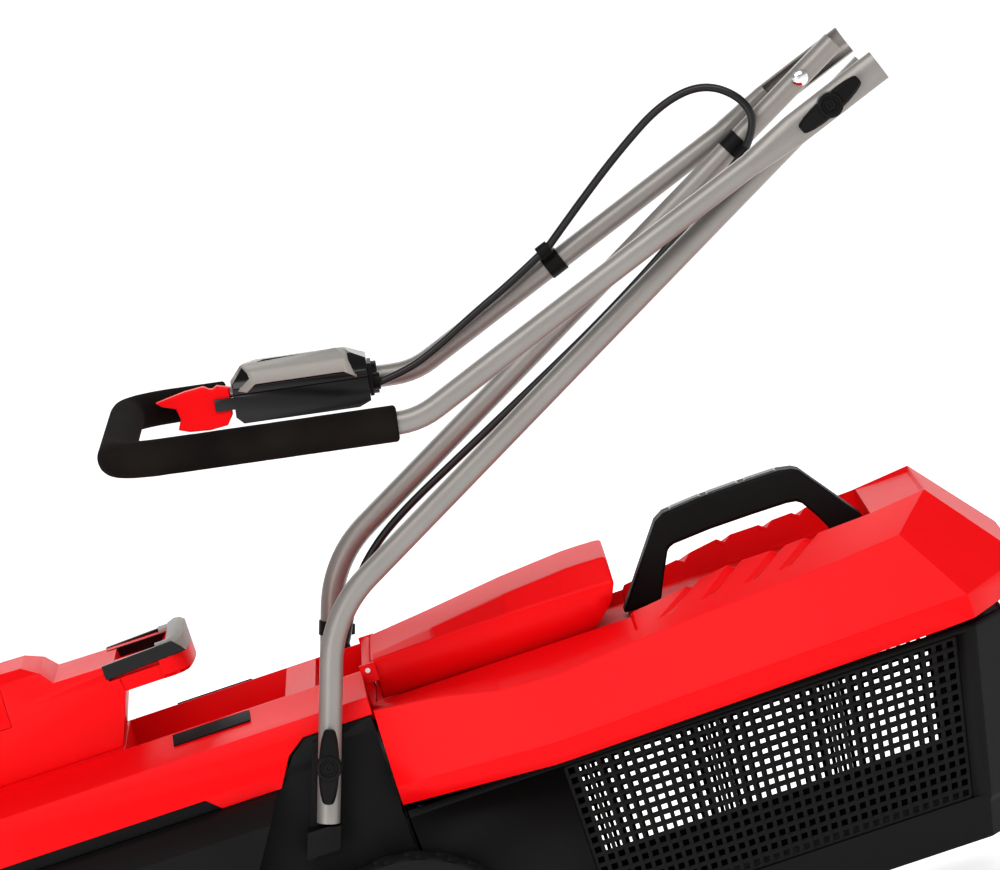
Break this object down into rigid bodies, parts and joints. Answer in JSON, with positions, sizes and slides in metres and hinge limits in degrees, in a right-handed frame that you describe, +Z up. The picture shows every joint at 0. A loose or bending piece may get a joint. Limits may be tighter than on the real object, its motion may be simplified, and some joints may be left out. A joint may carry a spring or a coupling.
{
  "type": "cordless push lawn mower",
  "caption": "Cordless push lawn mower with its tubular handle folded over the deck, a rear grass box with mesh sides and a foam covered grip.",
  "frame": {"origin": "middle of the overall box at ground level, under the wheels", "axes": "+X forward, +Y to the operator's left, +Z up"},
  "size_m": [1.2008, 0.4559, 0.8013],
  "materials": {
    "black_moulding": "fine moulded texture",
    "red_moulding": "satin gloss moulded plastic",
    "grey_moulding": "soft grey moulded plastic",
    "gloss_black": "polished black plastic",
    "badge": "plain badge with no lettering",
    "tube_paint": "silver grey powder coat",
    "steel": "zinc plated",
    "bolt_zinc": "bright zinc",
    "foam": "black foam rubber",
    "cable": "black cable sheath",
    "tyre": "black moulded tread",
    "battery": "black battery case",
    "key_green": "coloured key"
  },
  "bodies": {
    "deck": {"deck_shell": "black_moulding", "deck_cover": "red_moulding", "motor_hood": "red_moulding", "handle_end_cap": "grey_moulding", "handle_grip_pads": "black_moulding", "side_badges": "badge", "motor_housing": "black_moulding", "deck_sides": "black_moulding", "tube_feet": "black_moulding", "battery_packs": "battery", "safety_key": "key_green", "deck_bolts": "steel", "cable_gland": "black_moulding", "flap_hinge_pin": "steel"},
    "rear_axle": {"rear_axle": "steel"},
    "front_axle": {"front_axle": "steel"},
    "height_lever": {"height_lever": "grey_moulding"},
    "battery_cover": {"battery_cover": "red_moulding"},
    "blade_rotor": {"blade": "steel", "blade_carrier": "steel", "motor_shaft": "steel", "blade_bolt": "steel"},
    "lower_frame": {"lower_tube_left": "tube_paint", "lower_tube_right": "tube_paint", "upper_bolts": "bolt_zinc", "lower_cable_clips": "black_moulding", "cable_lower_run": "cable", "cable_deck_run": "cable"},
    "handlebar": {"handlebar": "tube_paint", "foam_grip": "foam", "switch_box_body": "gloss_black", "switch_box_cover": "grey_moulding", "switch_box_end": "black_moulding", "bar_cable_clip": "black_moulding", "cable_upper_run": "cable", "cable_loop": "cable"},
    "trigger": {"trigger_lever": "red_moulding"},
    "lock_button": {"lock_button": "gloss_black"},
    "lower_knob_left": {"lower_knob_left": "black_moulding"},
    "lower_knob_right": {"lower_knob_right": "black_moulding"},
    "upper_knob_left": {"upper_knob_left": "black_moulding"},
    "upper_knob_right": {"upper_knob_right": "black_moulding"},
    "rear_flap": {"rear_flap": "red_moulding"},
    "grass_box": {"box_lid": "red_moulding", "box_basket": "black_moulding", "grille_left": "black_moulding", "grille_right": "black_moulding", "box_handle": "black_moulding"},
    "wheel_rear_left": {"tyre_rear_left": "tyre", "rim_rear_left": "black_moulding", "hub_cap_rear_left": "red_moulding"},
    "wheel_rear_right": {"tyre_rear_right": "tyre", "rim_rear_right": "black_moulding", "hub_cap_rear_right": "red_moulding"},
    "wheel_front_left": {"tyre_front_left": "tyre", "rim_front_left": "black_moulding", "hub_cap_front_left": "red_moulding"},
    "wheel_front_right": {"tyre_front_right": "tyre", "rim_front_right": "black_moulding", "hub_cap_front_right": "red_moulding"}
  },
  "joints": [
    {"name": "lower_fold", "type": "hinge", "parent": "deck", "child": "lower_frame", "pos_m": [0.09035, 0, 0.33], "axis": [0, 1, 0], "range_deg": [0, 30], "deforming": ["cable_deck_run"]},
    {"name": "upper_fold", "type": "hinge", "parent": "lower_frame", "child": "handlebar", "pos_m": [-0.54065, 0, 0.768], "axis": [0, -1, 0], "range_deg": [0, 172], "deforming": ["cable_loop"]},
    {"name": "trigger", "type": "hinge", "parent": "handlebar", "child": "trigger", "pos_m": [0.0953, -0.177, 0.64372], "axis": [0, -1, 0], "range_deg": [0, 12], "stiffness_Nm_per_rad": 0.8, "springref_deg": -20.05},
    {"name": "lock_button", "type": "slide", "parent": "handlebar", "child": "lock_button", "axis": [0, 1, 0], "range_m": [0, 0.0035], "stiffness_N_per_m": 400, "springref_m": -0.004},
    {"name": "rear_axle", "type": "hinge", "parent": "deck", "child": "rear_axle", "pos_m": [0.10835, 0, 0.108], "axis": [0, 1, 0], "range_deg": [-22, 22]},
    {"name": "front_axle", "type": "hinge", "parent": "deck", "child": "front_axle", "pos_m": [0.55235, 0, 0.1], "axis": [0, 1, 0], "range_deg": [-22, 22]},
    {"name": "height_lever", "type": "hinge", "parent": "deck", "child": "height_lever", "pos_m": [0.30035, -0.209, 0.18], "axis": [0, 1, 0], "range_deg": [-22, 22]},
    {"name": "wheel_rear_left_spin", "type": "hinge", "parent": "rear_axle", "child": "wheel_rear_left", "pos_m": [0.07035, 0.195, 0.115], "axis": [0, 1, 0], "continuous": true},
    {"name": "wheel_rear_right_spin", "type": "hinge", "parent": "rear_axle", "child": "wheel_rear_right", "pos_m": [0.07035, -0.195, 0.115], "axis": [0, 1, 0], "continuous": true},
    {"name": "wheel_front_left_spin", "type": "hinge", "parent": "front_axle", "child": "wheel_front_left", "pos_m": [0.51035, 0.195, 0.09], "axis": [0, 1, 0], "continuous": true},
    {"name": "wheel_front_right_spin", "type": "hinge", "parent": "front_axle", "child": "wheel_front_right", "pos_m": [0.51035, -0.195, 0.09], "axis": [0, 1, 0], "continuous": true},
    {"name": "battery_cover", "type": "hinge", "parent": "deck", "child": "battery_cover", "pos_m": [0.51535, 0, 0.435], "axis": [0, 1, 0], "range_deg": [0, 75]},
    {"name": "blade_spin", "type": "hinge", "parent": "deck", "child": "blade_rotor", "pos_m": [0.32035, 0, 0.06], "axis": [0, 0, 1], "continuous": true},
    {"name": "rear_flap", "type": "hinge", "parent": "deck", "child": "rear_flap", "pos_m": [0.03235, 0, 0.388], "axis": [0, 1, 0], "range_deg": [0, 70], "stiffness_Nm_per_rad": 0.6, "springref_deg": -91.67},
    {"name": "grass_box", "type": "slide", "parent": "deck", "child": "grass_box", "axis": [-1, 0, 0], "range_m": [0, 0.6]},
    {"name": "lower_knob_left", "type": "hinge", "parent": "deck", "child": "lower_knob_left", "pos_m": [0.09035, 0.199, 0.33], "axis": [0, 1, 0], "continuous": true},
    {"name": "lower_knob_right", "type": "hinge", "parent": "deck", "child": "lower_knob_right", "pos_m": [0.09035, -0.199, 0.33], "axis": [0, -1, 0], "continuous": true},
    {"name": "upper_knob_left", "type": "hinge", "parent": "lower_frame", "child": "upper_knob_left", "pos_m": [-0.54065, 0.217, 0.768], "axis": [0, 1, 0], "continuous": true},
    {"name": "upper_knob_right", "type": "hinge", "parent": "lower_frame", "child": "upper_knob_right", "pos_m": [-0.54065, -0.217, 0.768], "axis": [0, -1, 0], "continuous": true}
  ],
  "couplings": [
    {"joint": "front_axle", "follows": "rear_axle", "ratio": 1},
    {"joint": "height_lever", "follows": "rear_axle", "ratio": 1}
  ]
}
